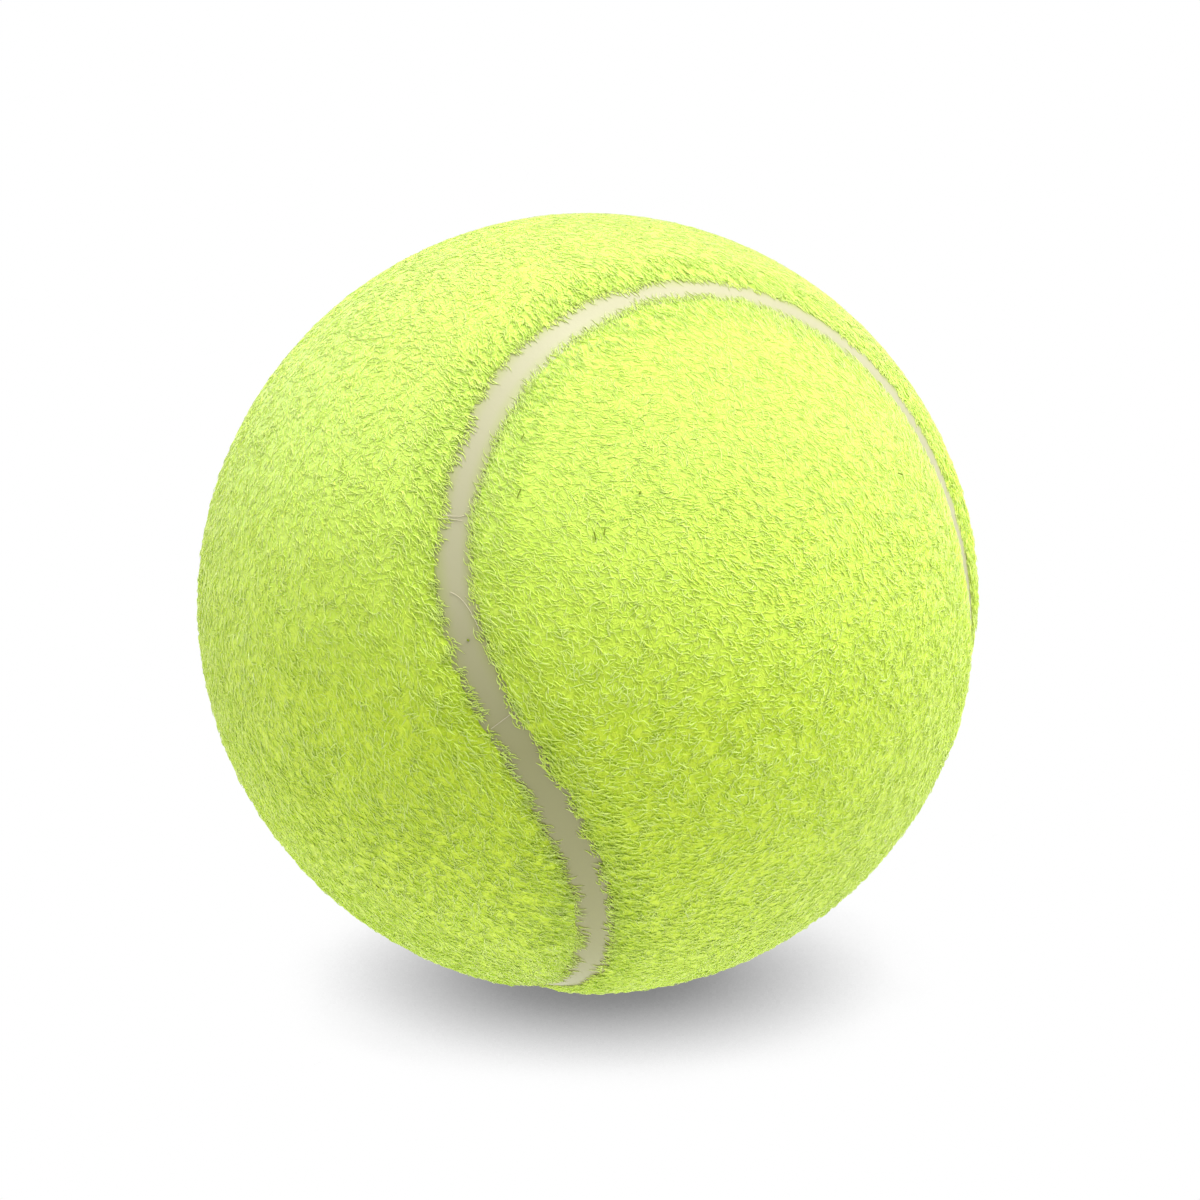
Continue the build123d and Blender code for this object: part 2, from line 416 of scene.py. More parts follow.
PANEL_STEP = 5.0  # sets the second panel's uneven edge apart from the first one's


def pressed_and_painted_light(tree, place):
    """Adds a share from nothing low on the ball to full on its upper side: how far the felt is pressed flat
    there, and how much paler painted light goes into its colours.
    """
    height = add_node(tree, "ShaderNodeSeparateXYZ", {0: place}).outputs["Z"]
    return add_node(tree, "ShaderNodeMapRange",
                    {"Value": height, "From Min": PRESSED_AND_PAINTED_LIGHT[0], "From Max": PRESSED_AND_PAINTED_LIGHT[1]}).outputs[0]


def from_seam(tree, place, turn):
    """Adds the way to the seam from each point, the distance to the felt's uneven edge, and its place."""
    level, apart = to_crest(tree, place)
    way = add_node(tree, "ShaderNodeVectorMath", {0: level}, operation="NORMALIZE").outputs[0]
    cut = add_node(tree, "ShaderNodeTexNoise",
                   {"Vector": place, "W": turn, "Scale": 1 / EDGE_UNEVEN_LENGTH, "Detail": 1},
                   noise_dimensions="4D")
    uneven = add_node(tree, "ShaderNodeMapRange",
                      {"Value": cut, "From Min": NOISE_SPAN[0], "From Max": NOISE_SPAN[1],
                       "To Min": EDGE_UNEVEN[0], "To Max": EDGE_UNEVEN[1]})
    edge = add_node(tree, "ShaderNodeMath", {0: pressed_and_painted_light(tree, place), 1: PRESSED_EDGE, 2: uneven},
                    operation="MULTIPLY_ADD").outputs[0]
    distance = add_node(tree, "ShaderNodeMath", {0: apart, 1: edge}, operation="SUBTRACT").outputs[0]
    return way, distance, edge


def felt_relief(name, turn):
    """Presses a panel's face in to make room for the nap, more at the seam, and makes its edge uneven."""
    tree, panel, place = start_tree(name)
    panel = drift(tree, panel, place)
    way, distance, edge = from_seam(tree, place, turn)

    # The edge moves to its uneven line, and takes the felt behind it along
    back = add_node(tree, "ShaderNodeMath", {0: EDGE_PLAIN + EDGE_TUCK, 1: edge}, operation="SUBTRACT")
    close = add_node(tree, "ShaderNodeMapRange",
                     {"Value": distance, "From Max": EDGE_UNEVEN_REACH, "To Min": 1, "To Max": 0})
    push = add_node(tree, "ShaderNodeMath", {0: back, 1: close}, operation="MULTIPLY")
    trim = add_node(tree, "ShaderNodeVectorMath", {0: way, "Scale": push}, operation="SCALE")
    trimmed = add_node(tree, "GeometryNodeSetPosition", {"Geometry": panel, "Offset": trim})

    # The face sinks by the nap's room and the tufts, rolls down to the seam and is tucked in at its edge
    reach = add_node(tree, "ShaderNodeVectorMath", {0: place}, operation="LENGTH").outputs["Value"]
    roll = add_node(tree, "ShaderNodeMapRange",
                    {"Value": distance, "From Max": EDGE_ROLL_WIDTH, "To Min": EDGE_ROLL, "To Max": 0},
                    interpolation_type="SMOOTHSTEP")
    tufts = add_node(tree, "ShaderNodeTexNoise",
                     {"Vector": place, "Scale": 1 / TUFT, "Detail": 3, "Roughness": 0.6})
    lows = add_node(tree, "ShaderNodeMapRange",
                    {"Value": tufts, "From Min": TUFT_SPAN[0], "From Max": TUFT_SPAN[1],
                     "To Min": NAP_ROOM + TUFT_HEIGHT / 2, "To Max": NAP_ROOM - TUFT_HEIGHT / 2})
    calm = add_node(tree, "ShaderNodeMix", {0: pressed_and_painted_light(tree, place), 2: lows, 3: NAP_ROOM})
    tuck = add_node(tree, "ShaderNodeMapRange",
                    {"Value": distance, "From Min": -EDGE_TUCK, "From Max": EDGE_TUCK_START,
                     "To Min": EDGE_TUCK, "To Max": 0})
    edged = add_node(tree, "ShaderNodeMath", {0: roll, 1: tuck}, operation="ADD")
    depth = add_node(tree, "ShaderNodeMath", {0: edged, 1: calm}, operation="ADD")
    lowered = add_node(tree, "ShaderNodeMath", {0: reach, 1: depth}, operation="SUBTRACT")
    foot = add_node(tree, "ShaderNodeMath", {0: reach, 1: EDGE_FOOT}, operation="MINIMUM")
    kept = add_node(tree, "ShaderNodeMath", {0: lowered, 1: foot}, operation="MAXIMUM")
    share = add_node(tree, "ShaderNodeMath", {0: kept, 1: reach}, operation="DIVIDE")
    moved = add_node(tree, "ShaderNodeVectorMath", {0: place, "Scale": share}, operation="SCALE")
    pressed = add_node(tree, "GeometryNodeSetPosition", {"Geometry": trimmed, "Position": moved})
    add_node(tree, "NodeGroupOutput", {0: pressed})
    return tree


def matted_felt():
    """Needled wool and nylon: quite dull with a soft sheen, pale crossing strands over a deeper ground, paler
    on the ball's upper side as painted light.
    """
    made, tree, shader = start_material("matted_felt", 0.95, 0.1)
    place = add_node(tree, "ShaderNodeTexCoord").outputs["Object"]
    mat = 0.0
    for layer in range(MAT_LAYERS):
        loops = add_node(tree, "ShaderNodeTexNoise",
                         {"Vector": place, "W": PATTERN_STEP * layer, "Scale": 1 / MAT_LOOP, "Detail": 1,
                          "Distortion": 0.6}, noise_dimensions="4D")
        level = add_node(tree, "ShaderNodeMath", {0: loops, 1: NOISE_MIDDLE}, operation="SUBTRACT")
        apart = add_node(tree, "ShaderNodeMath", {0: level}, operation="ABSOLUTE")
        strand = add_node(tree, "ShaderNodeMapRange",
                          {"Value": apart, "From Max": MAT_STRAND, "To Min": 1, "To Max": 0})
        mat = add_node(tree, "ShaderNodeMath", {0: mat, 1: strand}, operation="MAXIMUM")
    matted = add_node(tree, "ShaderNodeMix", {0: mat, 6: linear(FELT_DEEP), 7: linear(FELT_LIGHT)},
                      data_type="RGBA").outputs[2]
    # Towards the ball's upper side the ground turns paler as painted light
    ink = add_node(tree, "ShaderNodeMix", {0: pressed_and_painted_light(tree, place), 6: matted, 7: linear(FELT_PAINTED_LIGHT)},
                   data_type="RGBA")
    bump = add_node(tree, "ShaderNodeBump", {"Strength": 0.8, "Distance": 0.08 * MM, "Height": mat})
    shader.inputs["Sheen Weight"].default_value = 0.4
    shader.inputs["Sheen Roughness"].default_value = 0.5
    tree.links.new(ink.outputs[2], shader.inputs["Base Color"])
    tree.links.new(bump.outputs["Normal"], shader.inputs["Normal"])
    return made


felt_material = matted_felt()
felt_panels = {}
for turn, letter in enumerate(("a", "b")):
    panel = rework(f"felt_panel_{letter}", f"felt_blank_{letter}", FELT_MESH)
    apply_modifier(panel, "SMOOTH", factor=0.5, iterations=6)
    apply_modifier(panel, "NODES", node_group=felt_relief(f"felt_relief_{letter}", PANEL_STEP * turn))
    bpy.ops.object.shade_smooth()
    give_material(panel, felt_material)
    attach(panel, "root")
    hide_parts(f"felt_panel_{letter}")
    felt_panels[letter] = panel


# The nap is the loose ends of the felt's fibres, brushed up and then steamed, so they lie over in waves, curl,
# and hang over the seam's edges as a fringe. On the ball's upper side they are flatter, and paler as painted
# light.
# Single fibres are 0.02 to 0.04 mm thick, and far more. They are drawn about four times as thick, to show.
FIBRE_DEEP = "#C7E838"
FIBRE_MID = "#E1FA4C"
FIBRE_PALE = "#E7FC94"
FIBRE_WHITE = "#FAFFD2"
FIBRE_SHEEN = "#F8FFC8"
# A fibre's bend, in shares of its length, bow and height
FIBRE_SHAPE = {"Start": (0, 0, -0.2), "Middle": (0.4, 0.5, 1.1), "End": (1, 0, 0.4)}
FIBRE_TAPER = 3.0
FIBRE_WELD = 0.0005 * MM
NAP_FLOOR = BALL_RADIUS - 0.8 * MM
NAP_LOW = BALL_RADIUS - 0.66 * MM
NAP_TOP = (BALL_RADIUS - 0.2 * MM, BALL_RADIUS + 0.05 * MM)
WAVE = 9.0 * MM
WAVE_SWAY = 2.0
CLUMP = 1.8 * MM
CLUMP_SWAY = 1.8
EDGE_SWAY = 0.4  # share of the sway that is left at the seam
EDGE_COMB_WIDTH = 4.5 * MM
OVER_POWER = 1.2  # above 1, fewer fibres reach far over the seam
CURL = 1.1 * MM
CURL_APART = (0.7, 0.9, 0)  # sends each tone of fibre to another place of the curling pattern
PRESSED_HEIGHT = 0.28
# Painted light: on the ball's upper side the fibres' tones shift towards this paler one, by this share
PAINTED_LIGHT_TONE = 0.75
PAINTED_LIGHT_SHARE = 0.8
MOTTLE = 3.2 * MM
MOTTLE_SHARE = 0.4
MAP_MARGIN = 0.02
# Each layer's fibres per mm2, points per fibre and sizes in mm. over is how far they reach over the seam,
# and zone how far from it they grow.
NAP_LAYERS = {
    "under": dict(density=1.75, steps=3, length=(0.5, 0.95), height=(0.05, 0.12), thickness=0.14, curl=0.2,
                  scatter=1.0, tone=(0.1, 0.55), over=0.0, zone=None),
    "nap_1": dict(density=1.75, steps=3, length=(0.45, 0.85), height=(0.08, 0.18), thickness=0.11, curl=0.35,
                  scatter=0.9, tone=(0.15, 0.8), over=0.25, zone=None),
    "nap_2": dict(density=1.75, steps=3, length=(0.55, 1.0), height=(0.1, 0.24), thickness=0.11, curl=0.45,
                  scatter=0.85, tone=(0.25, 0.9), over=0.35, zone=None),
    "curls": dict(density=1.25, steps=4, length=(0.75, 1.3), height=(0.12, 0.32), thickness=0.1, curl=0.75,
                  scatter=0.95, tone=(0.4, 1.0), over=0.45, zone=None),
    "ruff": dict(density=2.2, steps=3, length=(0.8, 1.4), height=(0.15, 0.32), thickness=0.11, curl=0.2,
                 scatter=0.4, tone=(0.3, 0.9), over=0.7, zone=4.0),
    "fringe": dict(density=28.0, steps=3, length=(0.5, 1.3), height=(0.14, 0.28), thickness=0.085, curl=0.25,
                   scatter=0.6, tone=(0.3, 1.0), over=1.3, zone=0.6),
}
# Directions that each panel's fibres are combed in, beside the seam and away from it
COMB = {"a": ((0.2, -0.2, -0.8), (0.5, -0.4, -0.9)), "b": ((0.0, 0.0, 1.7), (-1.0, 0.0, 0.4))}


def nap_wool():
    """Dyed wool and nylon fibre: a strong pale sheen, each in its own tone and paler towards its tip."""
    made, tree, shader = start_material("brushed_nap_fibre", 0.55, 0.3)
    strand = add_node(tree, "ShaderNodeUVMap", uv_map="OFBake")
    along = add_node(tree, "ShaderNodeSeparateXYZ", {0: strand})
    tone = add_node(tree, "ShaderNodeValToRGB", {0: along.outputs["X"]})
    tone.color_ramp.elements[0].color = linear(FIBRE_DEEP)
    tone.color_ramp.elements[1].color = linear(FIBRE_WHITE)
    tone.color_ramp.elements.new(0.5).color = linear(FIBRE_MID)
    tone.color_ramp.elements.new(0.9).color = linear(FIBRE_PALE)
    tip = add_node(tree, "ShaderNodeMath", {0: along.outputs["Y"], 1: 0.5}, operation="MULTIPLY")
    ink = add_node(tree, "ShaderNodeMix", {0: tip, 6: tone, 7: linear(FIBRE_PALE)}, data_type="RGBA")
    shader.inputs["Sheen Weight"].default_value = 1.0
    shader.inputs["Sheen Tint"].default_value = linear(FIBRE_SHEEN)
    shader.inputs["Sheen Roughness"].default_value = 0.4
    tree.links.new(ink.outputs[2], shader.inputs["Base Color"])
    return made


def nap_tree(name, combs, turn, seed, layer, material):
    """Builds the geometry nodes that root bent fibres all over a panel's face, in the order they are made."""
    tree, panel, place = start_tree(name)

    # Roots are on the outer face and the rounded edges
    reach = add_node(tree, "ShaderNodeVectorMath", {0: place}, operation="LENGTH").outputs["Value"]
    rooted = add_node(tree, "FunctionNodeCompare", {0: reach, 1: NAP_FLOOR}, operation="GREATER_THAN")
    way, distance = from_seam(tree, place, turn)[:2]
    if layer["zone"]:
        near = add_node(tree, "FunctionNodeCompare", {0: distance, 1: layer["zone"] * MM},
                        operation="LESS_THAN")
        rooted = add_node(tree, "FunctionNodeBooleanMath", {0: rooted, 1: near}, operation="AND")
    roots = add_node(tree, "GeometryNodeDistributePointsOnFaces",
                     {"Mesh": panel, "Selection": rooted, "Density": layer["density"] / MM**2, "Seed": seed})

    # Each fibre leans the way of the comb, which turns near the seam, sways in waves and clumps, and scatters
    inland = add_node(tree, "ShaderNodeMapRange", {"Value": distance, "From Max": EDGE_COMB_WIDTH})
    edge = add_node(tree, "ShaderNodeVectorMath", {0: way, 1: combs[0]}, operation="ADD")
    face = combs[1]
    for pattern, sway in ((WAVE, WAVE_SWAY), (CLUMP, CLUMP_SWAY)):
        noise = add_node(tree, "ShaderNodeTexNoise", {"Vector": place, "Scale": 1 / pattern, "Detail": 0})
        swing = add_node(tree, "ShaderNodeVectorMath", {0: noise.outputs["Color"], 1: HALF},
                         operation="SUBTRACT")
        edge = add_node(tree, "ShaderNodeVectorMath", {0: swing, 1: (sway * EDGE_SWAY,) * 3, 2: edge},
                        operation="MULTIPLY_ADD")
        face = add_node(tree, "ShaderNodeVectorMath", {0: swing, 1: (sway,) * 3, 2: face},
                        operation="MULTIPLY_ADD")
    comb = add_node(tree, "ShaderNodeMix", {0: inland, 4: edge, 5: face}, data_type="VECTOR").outputs[1]
    scatter = layer["scatter"]
    stray = add_node(tree, "FunctionNodeRandomValue",
                     {0: (-scatter,) * 3, 1: (scatter,) * 3, "Seed": seed + 1}, data_type="FLOAT_VECTOR")
    lean = add_node(tree, "ShaderNodeVectorMath", {0: comb, 1: stray}, operation="ADD")
    stand = add_node(tree, "FunctionNodeAxesToRotation", {"Primary Axis": place, "Secondary Axis": lean},
                     primary_axis="Z", secondary_axis="X")

    # Fibres near the seam are cropped a little way over it, each bows to one side, and pressed ones lie low
    chance = add_node(tree, "FunctionNodeRandomValue", {"Seed": seed + 6}).outputs["Value"]
    few = add_node(tree, "ShaderNodeMath", {0: chance, 1: OVER_POWER}, operation="POWER")
    over_seam = add_node(tree, "ShaderNodeMath", {0: few, 1: layer["over"] * MM}, operation="MULTIPLY")
    to_edge = add_node(tree, "ShaderNodeMath", {0: distance, 1: 0.0}, operation="MAXIMUM")
    limit = add_node(tree, "ShaderNodeMath", {0: to_edge, 1: over_seam}, operation="ADD")
    shortest, longest = layer["length"]
    far = add_node(tree, "FunctionNodeRandomValue",
                   {"Min": shortest * MM, "Max": longest * MM, "Seed": seed + 2}).outputs["Value"]
    cropped = add_node(tree, "ShaderNodeMath", {0: far, 1: limit}, operation="MINIMUM")
    side = add_node(tree, "FunctionNodeRandomValue", {"Min": -1.0, "Max": 1.0, "Seed": seed + 3})
    bow = add_node(tree, "ShaderNodeMath", {0: cropped, 1: side.outputs["Value"]}, operation="MULTIPLY")
    lowest, highest = layer["height"]
    high = add_node(tree, "FunctionNodeRandomValue",
                    {"Min": lowest * MM, "Max": highest * MM, "Seed": seed + 4}).outputs["Value"]
    upper_share = pressed_and_painted_light(tree, place)
    loft = add_node(tree, "ShaderNodeMapRange", {"Value": upper_share, "To Min": 1, "To Max": PRESSED_HEIGHT})
    tall = add_node(tree, "ShaderNodeMath", {0: high, 1: loft}, operation="MULTIPLY")
    size = add_node(tree, "ShaderNodeCombineXYZ", {"X": cropped, "Y": bow, "Z": tall})

    # One fibre, rooted just under the face, rising and bending over, is copied to every root
    fibre = add_node(tree, "GeometryNodeCurveQuadraticBezier", {"Resolution": layer["steps"], **FIBRE_SHAPE})
    copies = add_node(tree, "GeometryNodeInstanceOnPoints",
                      {"Points": roots, "Instance": fibre, "Rotation": stand, "Scale": size})

    # Tones differ from fibre to fibre and from patch to patch, and on the ball's upper side are evened out
    # towards a paler tone as painted light
    chance = add_node(tree, "FunctionNodeRandomValue", {"Seed": seed + 5}).outputs["Value"]
    patches = add_node(tree, "ShaderNodeTexNoise", {"Vector": place, "Scale": 1 / MOTTLE, "Detail": 1})
    patch = add_node(tree, "ShaderNodeMapRange",
                     {"Value": patches, "From Min": NOISE_SPAN[0], "From Max": NOISE_SPAN[1]})
    tint = add_node(tree, "ShaderNodeMix", {0: MOTTLE_SHARE, 2: chance, 3: patch})
    deepest, palest = layer["tone"]
    grown = add_node(tree, "ShaderNodeMapRange", {"Value": tint, "To Min": deepest, "To Max": palest})
    painted_light_share = add_node(tree, "ShaderNodeMath", {0: upper_share, 1: PAINTED_LIGHT_SHARE}, operation="MULTIPLY")
    shade = add_node(tree, "ShaderNodeMix", {0: painted_light_share, 2: grown, 3: PAINTED_LIGHT_TONE})
    toned = add_node(tree, "GeometryNodeStoreNamedAttribute",
                     {"Geometry": copies, "Name": "tone", "Value": shade},
                     domain="INSTANCE", data_type="FLOAT")
    loose = add_node(tree, "GeometryNodeRealizeInstances", {"Geometry": toned})

    # Every fibre curls its own way, more towards its tip, and none stands out of the nap
    share = add_node(tree, "GeometryNodeSplineParameter").outputs["Factor"]
    tone = add_node(tree, "GeometryNodeInputNamedAttribute", {"Name": "tone"}, data_type="FLOAT").outputs[0]
    own = add_node(tree, "ShaderNodeCombineXYZ", {"X": tone, "Y": tone})
    apart = add_node(tree, "ShaderNodeVectorMath", {0: own, 1: CURL_APART, 2: place},
                     operation="MULTIPLY_ADD")
    wander = add_node(tree, "ShaderNodeTexNoise", {"Vector": apart, "Scale": 1 / CURL, "Detail": 0})
    centred = add_node(tree, "ShaderNodeVectorMath", {0: wander.outputs["Color"], 1: HALF},
                       operation="SUBTRACT")
    grip = add_node(tree, "ShaderNodeMath", {0: share, 1: layer["curl"] * MM}, operation="MULTIPLY")
    eased = add_node(tree, "ShaderNodeMath", {0: grip, 1: loft}, operation="MULTIPLY")
    bend = add_node(tree, "ShaderNodeVectorMath", {0: centred, "Scale": eased}, operation="SCALE")
    curled = add_node(tree, "GeometryNodeSetPosition", {"Geometry": loose, "Offset": bend})
    top = add_node(tree, "ShaderNodeMapRange", {"Value": tone, "To Min": NAP_TOP[0], "To Max": NAP_TOP[1]})
    squeeze = add_node(tree, "ShaderNodeMath", {0: top, 1: reach}, operation="DIVIDE")
    held = add_node(tree, "ShaderNodeMath", {0: squeeze, 1: 1.0}, operation="MINIMUM")
    sunk = add_node(tree, "ShaderNodeMath", {0: NAP_LOW, 1: reach}, operation="DIVIDE")
    clear = add_node(tree, "ShaderNodeMath", {0: held, 1: sunk}, operation="MAXIMUM")
    lower = add_node(tree, "ShaderNodeVectorMath", {0: place, "Scale": clear}, operation="SCALE")
    laid = add_node(tree, "GeometryNodeSetPosition", {"Geometry": curled, "Position": lower})

    # The fibres become thin tubes that taper to a point, with their tone and length kept as a map
    marked = add_node(tree, "GeometryNodeStoreNamedAttribute",
                      {"Geometry": laid, "Name": "along", "Value": share}, domain="POINT", data_type="FLOAT")
    ring = add_node(tree, "GeometryNodeCurvePrimitiveCircle", {"Resolution": 3, "Radius": 1.0})
    ringed = add_node(tree, "GeometryNodeStoreNamedAttribute",
                      {"Geometry": ring, "Name": "around", "Value": share}, domain="POINT", data_type="FLOAT")
    taper = add_node(tree, "ShaderNodeMath", {0: share, 1: FIBRE_TAPER}, operation="POWER")
    girth = add_node(tree, "ShaderNodeMapRange",
                     {"Value": taper, "To Min": layer["thickness"] / 2 * MM, "To Max": 0})
    tubes = add_node(tree, "GeometryNodeCurveToMesh",
                     {"Curve": marked, "Profile Curve": ringed, "Scale": girth, "Fill Caps": True})
    pointed = add_node(tree, "GeometryNodeMergeByDistance", {"Geometry": tubes, "Distance": FIBRE_WELD})
    values = {}
    for kept in ("tone", "along", "around"):
        values[kept] = add_node(tree, "GeometryNodeInputNamedAttribute", {"Name": kept}, data_type="FLOAT")
    across = add_node(tree, "ShaderNodeMath", {0: values["around"], 1: MAP_MARGIN / 2, 2: MAP_MARGIN / 2},
                      operation="MULTIPLY_ADD")
    u = add_node(tree, "ShaderNodeMath", {0: values["tone"], 1: 1 - 2 * MAP_MARGIN, 2: across},
                 operation="MULTIPLY_ADD")
    v = add_node(tree, "ShaderNodeMath", {0: values["along"], 1: 1 - 2 * MAP_MARGIN, 2: MAP_MARGIN},
                 operation="MULTIPLY_ADD")
    spot = add_node(tree, "ShaderNodeCombineXYZ", {"X": u, "Y": v})
    made = add_node(tree, "GeometryNodeStoreNamedAttribute", {"Geometry": pointed, "Name": "OFBake"},
                    domain="CORNER", data_type="FLOAT2")
    tree.links.new(spot.outputs[0], made.inputs["Value"])
    for kept in values:
        made = add_node(tree, "GeometryNodeRemoveAttribute", {"Geometry": made, "Name": kept})
    smooth = add_node(tree, "GeometryNodeSetShadeSmooth", {"Geometry": made})
    coloured = add_node(tree, "GeometryNodeSetMaterial", {"Geometry": smooth, "Material": material})
    add_node(tree, "NodeGroupOutput", {0: coloured})
    return tree


nap_material = nap_wool()
nap_seed = 0
for turn, (letter, panel) in enumerate(felt_panels.items()):
    for layer_name, layer in NAP_LAYERS.items():
        nap_seed += 10
        nap = start_piece(f"felt_{layer_name}_{letter}", panel.data.copy())
        tree = nap_tree(nap.name, COMB[letter], PANEL_STEP * turn, nap_seed, layer, nap_material)
        apply_modifier(nap, "NODES", node_group=tree)
        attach(nap, "root")

# The crest was only a guide for the seam, the felt's edges and the nap
bpy.data.objects.remove(seam_crest)


# Loose bits have settled on the ball: pale hairs across the seam, dark lint in the nap and a speck of dirt.
# They lie where the photograph shows them. It is 1200 pixels wide and was taken from 13 ball radii away and a
# little above, and the ball's outline in it is a circle with this middle and radius.
HAIR_PALE = "#D6CEB4"
LINT_DARK = "#7E9020"
HAIR_THICKNESS = 0.05 * MM
DIRT_THICKNESS = 0.16 * MM
LINT_THICKNESS = 0.11 * MM
PHOTO_SIDE = 1200
BALL_MIDDLE = (588.1, 603.0)
BALL_OUTLINE = 392.0
CAMERA_RADII = 13.0
CAMERA_ELEVATION = radians(15.4)
ON_SEAM = BALL_RADIUS - 0.62 * MM
ON_NAP = BALL_RADIUS - 0.05 * MM
HAIRS = (
    ((443, 515), (452, 516.5), (460, 517), (466, 515)),
    ((438, 519), (446, 518), (454, 519.5), (462, 520.5)),
    ((450, 592), (458, 595), (466, 604), (473, 615), (479, 629)),
    ((491, 729), (501, 721.5), (511, 714)),
    ((460, 699), (466, 700), (472, 702.5)),
)
LINT = (
    ((521, 489), (517, 498)),
    ((524, 434), (521.5, 439)),
    ((594, 532), (596, 540)),
    ((605, 529), (604, 535)),
    ((641, 491), (639, 494)),
    ((898, 473), (903, 475)),
    ((376, 885), (379, 888)),
)
DIRT = (((467, 639.5), (469, 641)),)
focal_pixels = BALL_OUTLINE * sqrt(CAMERA_RADII**2 - 1)
eye = Vector((0, -cos(CAMERA_ELEVATION), sin(CAMERA_ELEVATION))) * CAMERA_RADII * BALL_RADIUS
eye_turn = eye.to_track_quat("Z", "Y")


def under_pixel(spot, radius):
    """Finds the point at a radius from the ball's middle that is seen at a pixel of the photograph."""
    ray = Vector((spot[0] - BALL_MIDDLE[0], BALL_MIDDLE[1] - spot[1], -focal_pixels)).normalized()
    ray.rotate(eye_turn)
    near = eye.dot(ray)
    return eye + ray * (-near - sqrt(near**2 - eye.length_squared + radius**2))


def loose_bits(name, paths, radius, thickness, colour):
    """Lays thin round strands on the ball along the paths."""
    line = bpy.data.curves.new(name, "CURVE")
    line.dimensions = "3D"
    line.bevel_depth = thickness / 2
    line.bevel_resolution = 1
    line.use_fill_caps = True
    for path in paths:
        strand = line.splines.new("NURBS")
        strand.points.add(len(path) - 1)
        for point, spot in zip(strand.points, path):
            point.co = (*under_pixel(spot, radius), 1)
        strand.use_endpoint_u = True
        strand.order_u = min(4, len(path))
    made = start_piece(name, line)
    bpy.ops.object.convert(target="MESH")
    bpy.ops.object.shade_smooth()
    material, tree, shader = start_material(name, 0.7, 0.3)
    shader.inputs["Base Color"].default_value = linear(colour)
    give_material(made, material)
    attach(made, "root")


loose_bits("pale_hairs", HAIRS, ON_SEAM, HAIR_THICKNESS, HAIR_PALE)
loose_bits("seam_dirt", DIRT, ON_SEAM, DIRT_THICKNESS, LINT_DARK)
loose_bits("nap_lint", LINT, ON_NAP, LINT_THICKNESS, LINT_DARK)


# The ball lies on a plain white sheet that glows round it, in a white tent that is dark on the camera's side
# and dimmer at the back, with a soft lamp overhead, a little to the right and to the front.
# The sheet is seen as white, with a painted shadow only where the ball stands close over it.
SHEET_BOUNCE = "#7C7C7C"
SHEET_GLOW = (1.22, 0.3)  # under the ball, and from the edge on, in front and behind
SHEET_EDGE = 6 * BALL_RADIUS
SHEET_SIZE = 4.0
SHADOW_REACH = 0.72 * BALL_RADIUS
SHADOW_LEAN = -0.07  # sets the shadow a little to one side
SHADOW_OPEN = (0.065, 0.505)  # openness of the sheet where the shadow is darkest, and where it ends
SHADOW_DEPTH = 0.225
TENT_LIGHT = 1.2
TENT_FRONT = -0.95  # the tent's directions run from -1, on the camera's dark side, to 1 at the back
TENT_BACK = 0.45
TENT_BACK_START = 0.3
LAMP_STRENGTH = 3.15
LAMP_WIDTH = radians(60)
LAMP_PLACE = Vector((0.28, -0.2, 0.85))
bpy.ops.object.select_all(action="DESELECT")
bpy.ops.mesh.primitive_plane_add(size=SHEET_SIZE, location=(0, 0, cad_low.z))
floor = bpy.context.object
floor.name = "floor"
sheet_material, sheet_tree, sheet_shader = start_material("white_sheet", 0.9, 0.0)
sheet_shader.inputs["Base Color"].default_value = linear(SHEET_BOUNCE)
sheet_place = add_node(sheet_tree, "ShaderNodeTexCoord").outputs["Object"]
sheet_depth = add_node(sheet_tree, "ShaderNodeSeparateXYZ", {0: sheet_place}).outputs["Y"]
sheet_far = add_node(sheet_tree, "ShaderNodeMath", {0: sheet_depth}, operation="ABSOLUTE")
sheet_glow = add_node(sheet_tree, "ShaderNodeMapRange",
                      {"Value": sheet_far, "From Max": SHEET_EDGE,
                       "To Min": SHEET_GLOW[0], "To Max": SHEET_GLOW[1]})
sheet_tree.links.new(sheet_glow.outputs[0], sheet_shader.inputs["Emission Strength"])
# Seen from the camera the sheet is an emission, and its shadow is painted from how open it is around
shadow_way = add_node(sheet_tree, "ShaderNodeCombineXYZ", {"X": SHADOW_LEAN, "Z": 1.0})
shadow = add_node(sheet_tree, "ShaderNodeAmbientOcclusion", {"Distance": SHADOW_REACH, "Normal": shadow_way},
                  samples=16)
shadow_tone = add_node(sheet_tree, "ShaderNodeMapRange",
                       {"Value": shadow.outputs["AO"], "From Min": SHADOW_OPEN[0], "From Max": SHADOW_OPEN[1],
                        "To Min": SHADOW_DEPTH, "To Max": 1.0})
sheet_seen = add_node(sheet_tree, "ShaderNodeEmission", {"Color": shadow_tone})
sheet_path = add_node(sheet_tree, "ShaderNodeLightPath")
sheet_face = add_node(sheet_tree, "ShaderNodeMixShader",
                      {0: sheet_path.outputs["Is Camera Ray"], 1: sheet_shader, 2: sheet_seen})
sheet_tree.links.new(sheet_face.outputs[0], sheet_tree.nodes["Material Output"].inputs["Surface"])
give_material(floor, sheet_material)

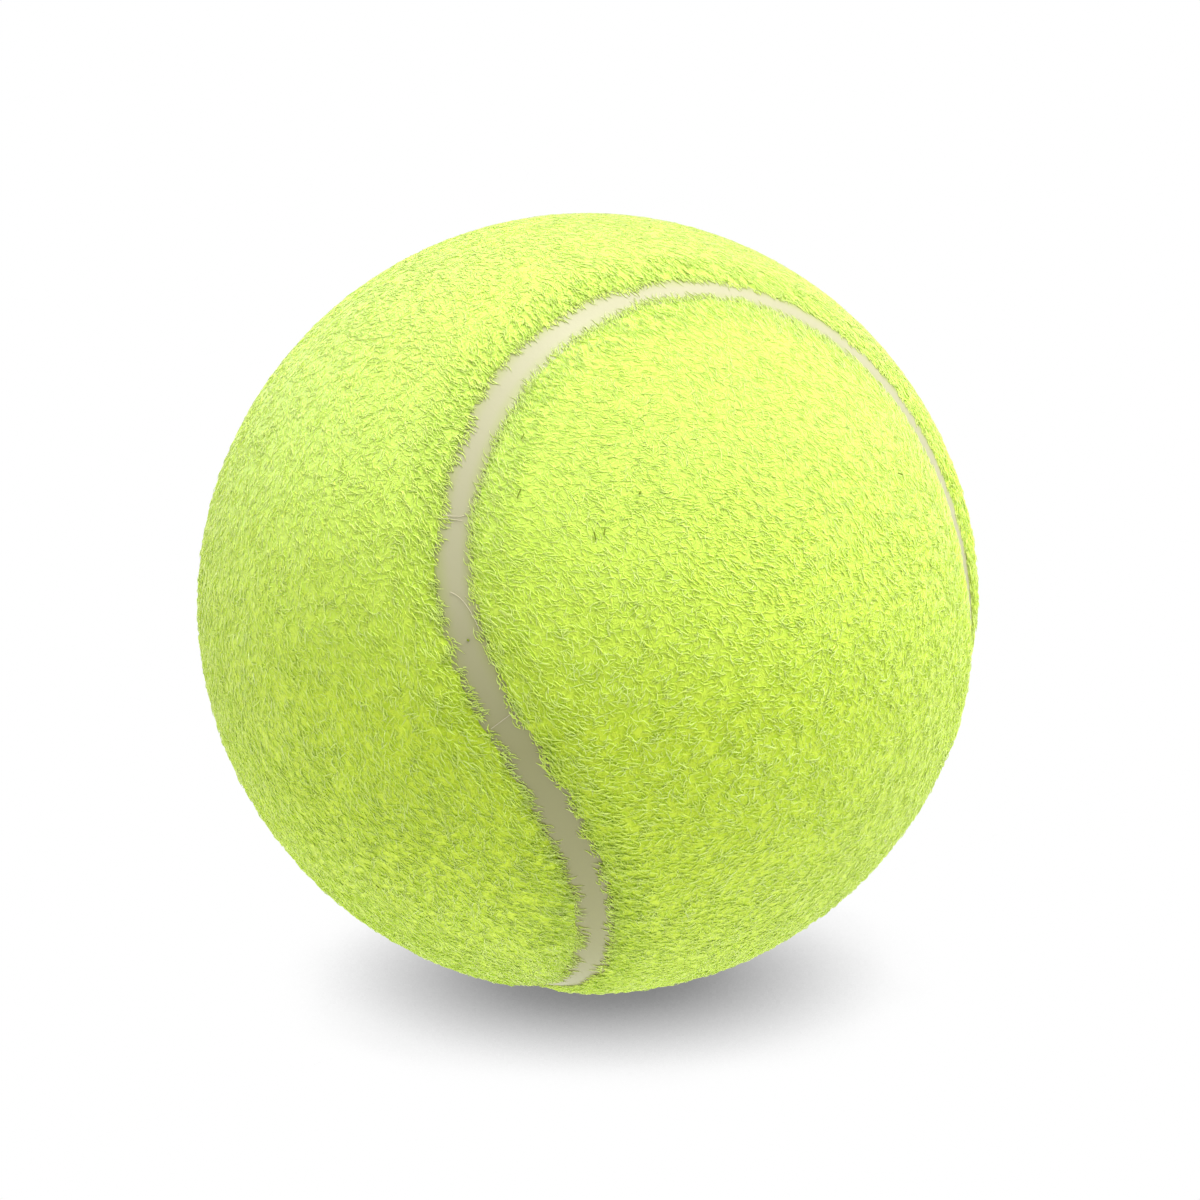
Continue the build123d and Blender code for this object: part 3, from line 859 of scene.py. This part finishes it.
world = bpy.data.worlds.new("white_tent")
world.use_nodes = True
tent_tree = world.node_tree
tent = tent_tree.nodes["Background"]
tent.inputs["Color"].default_value = (1, 1, 1, 1)
tent_path = add_node(tent_tree, "ShaderNodeLightPath")
tent_way = add_node(tent_tree, "ShaderNodeTexCoord").outputs["Generated"]
tent_depth = add_node(tent_tree, "ShaderNodeSeparateXYZ", {0: tent_way}).outputs["Y"]
walls = add_node(tent_tree, "ShaderNodeMapRange",
                 {"Value": tent_depth, "From Min": TENT_FRONT, "From Max": 0.0, "To Max": TENT_LIGHT},
                 interpolation_type="SMOOTHSTEP")
back = add_node(tent_tree, "ShaderNodeMapRange",
                {"Value": tent_depth, "From Min": TENT_BACK_START, "To Min": 1.0, "To Max": TENT_BACK},
                interpolation_type="SMOOTHSTEP")
tent_light = add_node(tent_tree, "ShaderNodeMath", {0: walls, 1: back}, operation="MULTIPLY")
tent_white = add_node(tent_tree, "ShaderNodeMath", {0: tent_path.outputs["Is Camera Ray"], 1: tent_light},
                      operation="MAXIMUM")
tent_tree.links.new(tent_white.outputs[0], tent.inputs["Strength"])
bpy.context.scene.world = world

lamp_data = bpy.data.lights.new("overhead_lamp", "SUN")
lamp_data.energy = LAMP_STRENGTH
lamp_data.angle = LAMP_WIDTH
lamp = bpy.data.objects.new("overhead_lamp", lamp_data)
lamp.rotation_euler = LAMP_PLACE.to_track_quat("Z", "Y").to_euler()
bpy.context.scene.collection.objects.link(lamp)


# The camera stands where the photograph was taken from, and frames the ball in the same way.
camera_data = bpy.data.cameras.new("camera")
camera_data.lens = focal_pixels / PHOTO_SIDE * camera_data.sensor_width
camera_data.shift_x = 0.5 - BALL_MIDDLE[0] / PHOTO_SIDE
camera_data.shift_y = BALL_MIDDLE[1] / PHOTO_SIDE - 0.5
camera_data.clip_start = 0.01
camera = bpy.data.objects.new("camera", camera_data)
camera.location = eye
camera.rotation_euler = eye_turn.to_euler()
bpy.context.scene.collection.objects.link(camera)
bpy.context.scene.camera = camera
